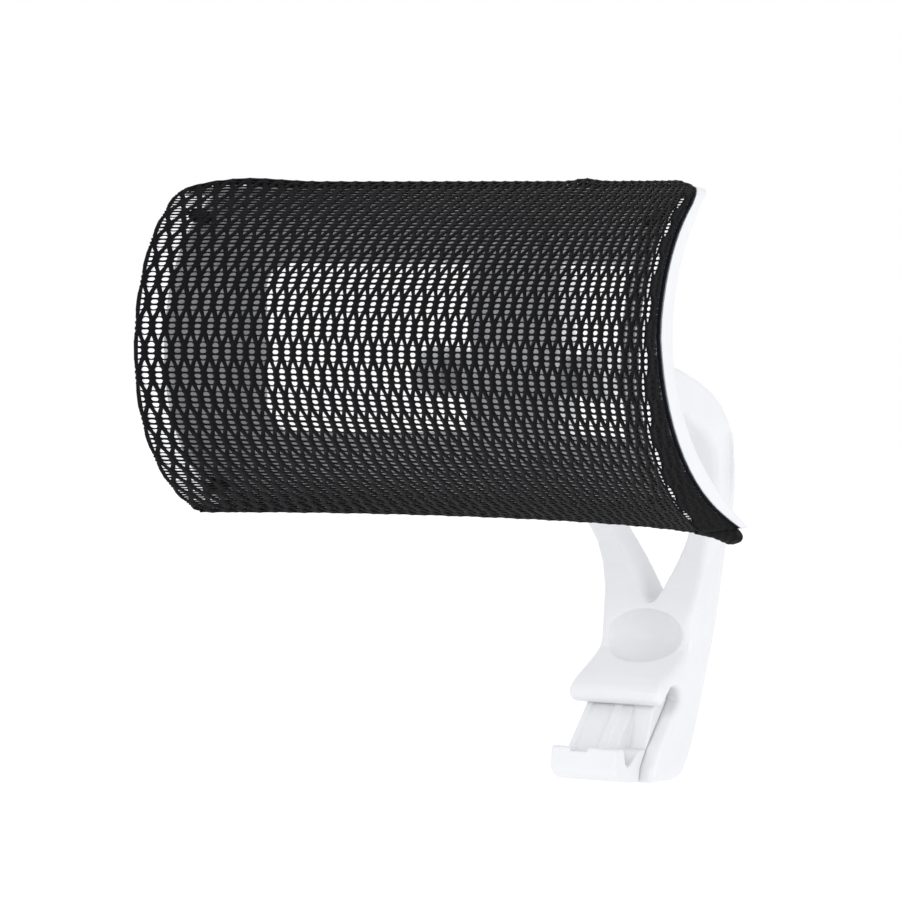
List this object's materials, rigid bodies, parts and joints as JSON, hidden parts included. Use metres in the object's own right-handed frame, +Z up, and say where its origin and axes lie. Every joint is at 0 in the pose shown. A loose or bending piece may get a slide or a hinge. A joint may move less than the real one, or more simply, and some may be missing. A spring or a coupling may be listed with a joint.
{
  "type": "clip-on chair headrest",
  "caption": "Saddle-shaped mesh headrest that tilts on a forked arm, with a sliding two-jaw clip for a chair back's top rail.",
  "frame": {"origin": "middle of the clip's mouth, on the symmetry plane, where the chair back's top rail sits", "axes": "+X across the headrest, -Y towards the mesh front and the open side of the clip, +Z up"},
  "size_m": [0.3152, 0.2566, 0.3098],
  "materials": {
    "white_plastic": "fine satin moulded white plastic",
    "black_knit": "open warp-knitted polyester mesh",
    "navy_tape": "woven dark navy tape",
    "steel": "zinc-plated steel",
    "grey_nylon": "plain grey nylon"
  },
  "bodies": {
    "arm": {"fork_arm": "white_plastic", "pivot_bolt": "steel", "pivot_nut": "steel", "friction_washer_left": "grey_nylon", "friction_washer_right": "grey_nylon"},
    "headrest": {"tray_frame": "white_plastic", "mesh_cover": "black_knit", "edge_binding": "navy_tape", "corner_gather_1": "black_knit", "corner_gather_2": "black_knit", "corner_gather_3": "black_knit", "corner_gather_4": "black_knit", "hinge_strut": "white_plastic", "strut_screw_1": "steel", "strut_screw_2": "steel", "strut_screw_3": "steel", "strut_screw_4": "steel"},
    "jaw": {"clip_hook": "white_plastic"}
  },
  "joints": [
    {"name": "headrest_tilt", "type": "hinge", "parent": "arm", "child": "headrest", "pos_m": [0, -0.0785, 0.184], "axis": [1, 0, 0], "range_deg": [-25, 25]},
    {"name": "jaw_slide", "type": "slide", "parent": "arm", "child": "jaw", "axis": [0, -0.6091, -0.7931], "range_m": [0, 0.012]}
  ]
}
